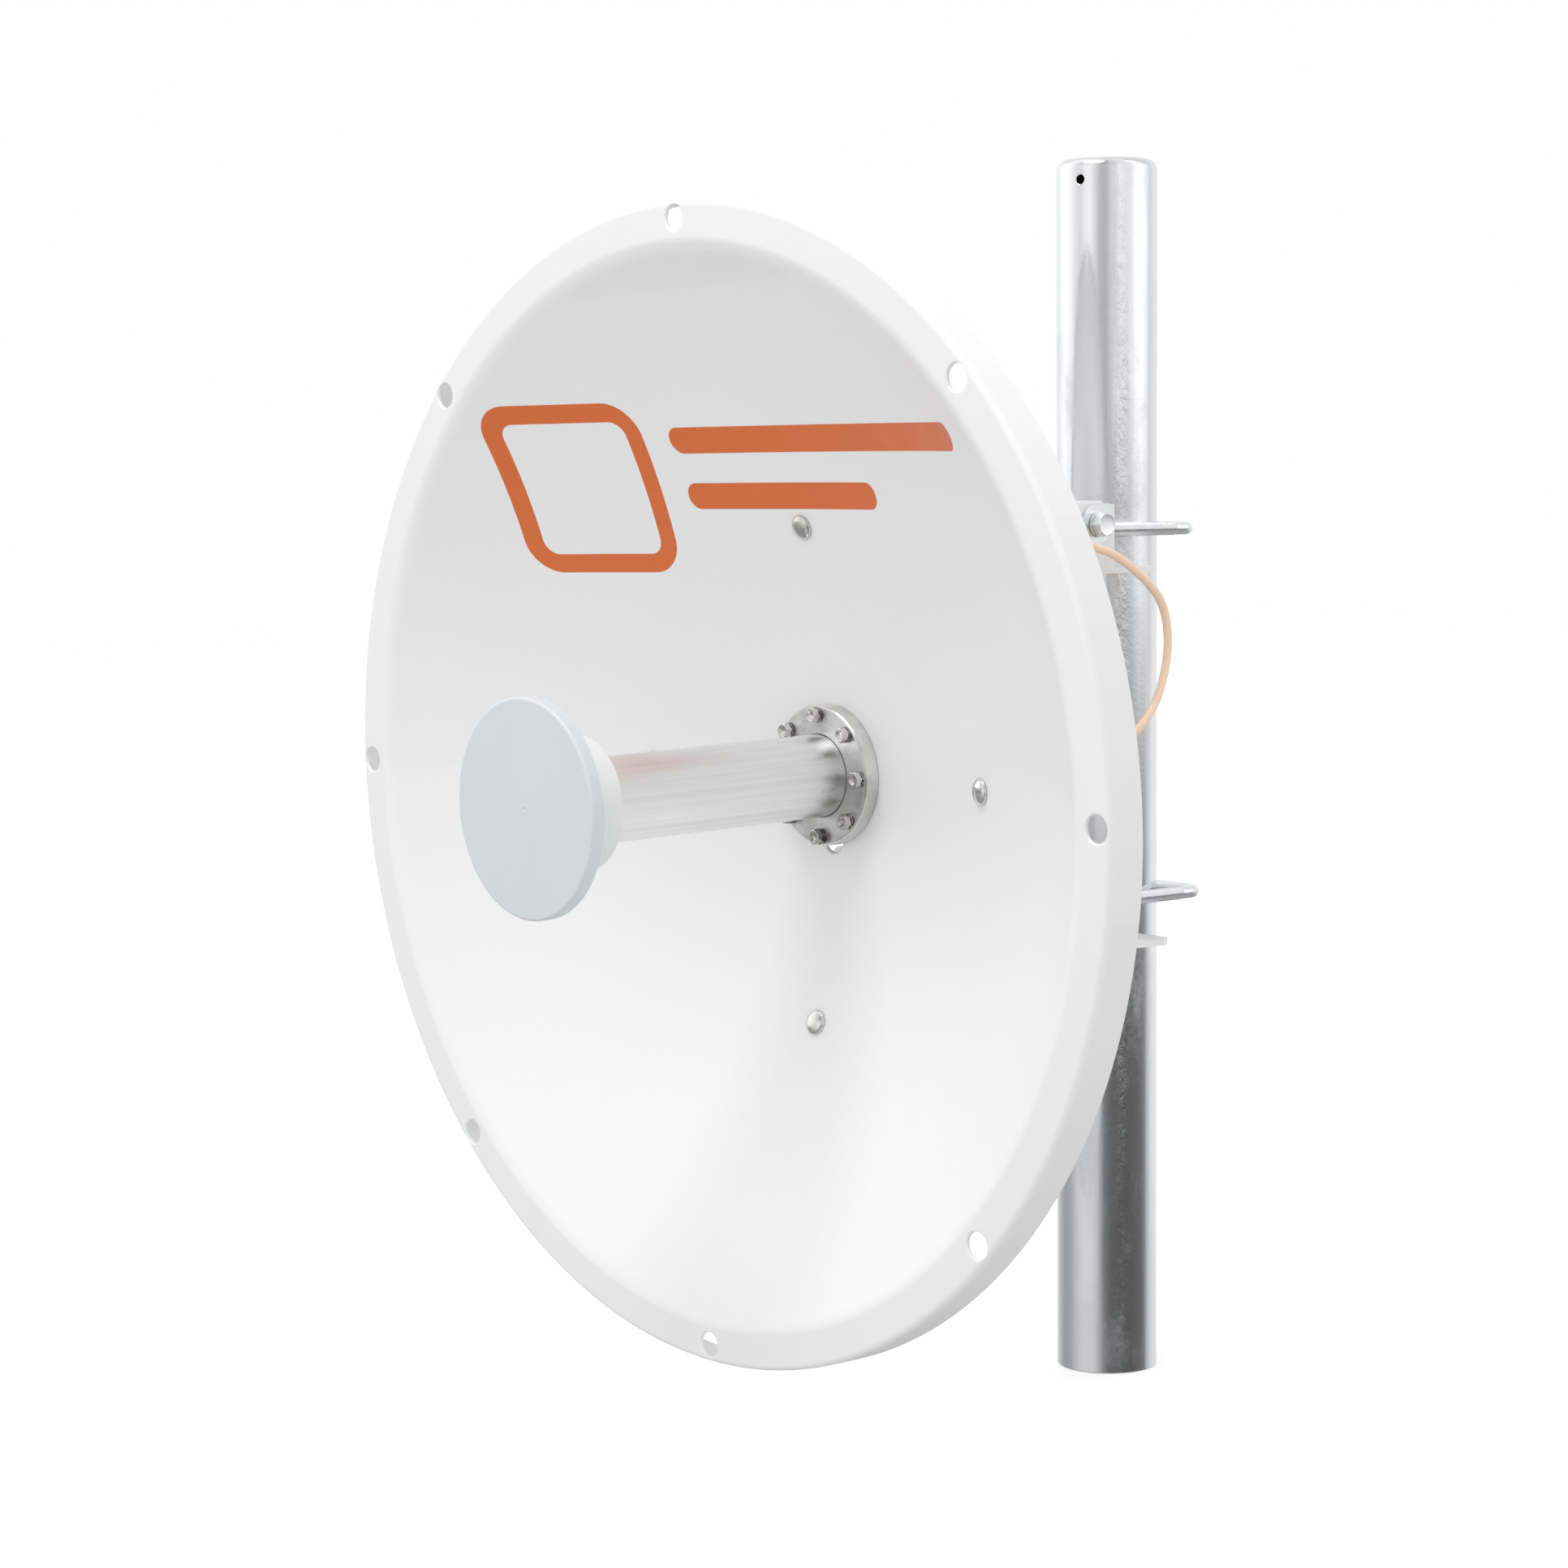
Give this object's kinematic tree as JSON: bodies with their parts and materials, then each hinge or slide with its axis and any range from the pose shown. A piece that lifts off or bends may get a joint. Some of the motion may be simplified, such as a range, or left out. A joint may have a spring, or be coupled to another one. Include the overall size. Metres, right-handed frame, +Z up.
{
  "type": "parabolic dish antenna",
  "caption": "Solid parabolic dish antenna with a rear-fed splash-plate feed, held on a round mast by U-bolt clamps that let it turn and tilt.",
  "frame": {"origin": "centre of the mast's cut foot, on the mast's axis", "axes": "+Z up the mast, -Y the way the dish looks, +X to the right seen from in front of the dish"},
  "size_m": [0.6418, 0.4834, 0.73],
  "materials": {
    "galvanised": "hot-dip galvanised, matt with faint spangle and vertical streaks",
    "dish_paint": "white powder coat, semi-matt",
    "bracket_paint": "white powder coat over bent sheet steel",
    "zinc_plate": "bright zinc plate with a blue tint",
    "stainless": "machined stainless steel",
    "tube_aluminium": "drawn aluminium tube, brushed lengthwise",
    "cast_aluminium": "machined and chromated aluminium",
    "disc_plastic": "pale blue-grey moulded plastic",
    "collar_plastic": "off-white moulded plastic",
    "nickel": "nickel plate",
    "cable_braid": "tan jacket over a copper braid",
    "clip_plastic": "black nylon",
    "cap_rubber": "black rubber"
  },
  "bodies": {
    "mast": {"mast_pipe": "galvanised"},
    "mount": {"upper_clamp": "bracket_paint", "lower_clamp": "bracket_paint", "upper_u_bolt": "zinc_plate", "lower_u_bolt": "zinc_plate", "lower_u_bolt_nut_left": "zinc_plate", "lower_u_bolt_nut_right": "zinc_plate", "upper_u_bolt_nut_left": "zinc_plate", "upper_u_bolt_nut_right": "zinc_plate", "pivot_bolt_left": "zinc_plate", "pivot_bolt_right": "zinc_plate", "pivot_nut_left": "zinc_plate", "pivot_nut_right": "zinc_plate", "pivot_washer_left": "zinc_plate", "pivot_washer_right": "zinc_plate"},
    "dish": {"cable_clip": "clip_plastic", "carriage_bolt_bottom": "zinc_plate", "carriage_bolt_left": "zinc_plate", "carriage_bolt_right": "zinc_plate", "carriage_bolt_top": "zinc_plate", "carriage_nut_bottom": "zinc_plate", "carriage_nut_left": "zinc_plate", "carriage_nut_right": "zinc_plate", "carriage_nut_top": "zinc_plate", "dish_bracket": "bracket_paint", "feed_collar": "collar_plastic", "feed_flange": "stainless", "feed_transducer": "cast_aluminium", "feed_tube": "tube_aluminium", "flange_bolt_1": "stainless", "flange_bolt_2": "stainless", "flange_bolt_3": "stainless", "flange_bolt_4": "stainless", "flange_bolt_5": "stainless", "flange_bolt_6": "stainless", "flange_bolt_7": "stainless", "flange_bolt_8": "stainless", "flange_washer_1": "stainless", "flange_washer_2": "stainless", "flange_washer_3": "stainless", "flange_washer_4": "stainless", "flange_washer_5": "stainless", "flange_washer_6": "stainless", "flange_washer_7": "stainless", "flange_washer_8": "stainless", "jumper_cable": "cable_braid", "jumper_plug_free": "nickel", "jumper_plug_port": "nickel", "lock_bolt_left": "zinc_plate", "lock_bolt_right": "zinc_plate", "lock_nut_left": "zinc_plate", "lock_nut_right": "zinc_plate", "lock_washer_left": "zinc_plate", "lock_washer_right": "zinc_plate", "port_cap": "cap_rubber", "port_connector": "nickel", "reflector": "dish_paint", "subreflector": "disc_plastic"}
  },
  "joints": [
    {"name": "azimuth", "type": "hinge", "parent": "mast", "child": "mount", "pos_m": [0, 0, 0.4], "axis": [0, 0, 1], "continuous": true},
    {"name": "elevation", "type": "hinge", "parent": "mount", "child": "dish", "pos_m": [0, -0.0674, 0.5143], "axis": [-1, 0, 0], "range_deg": [-10, 15]}
  ]
}
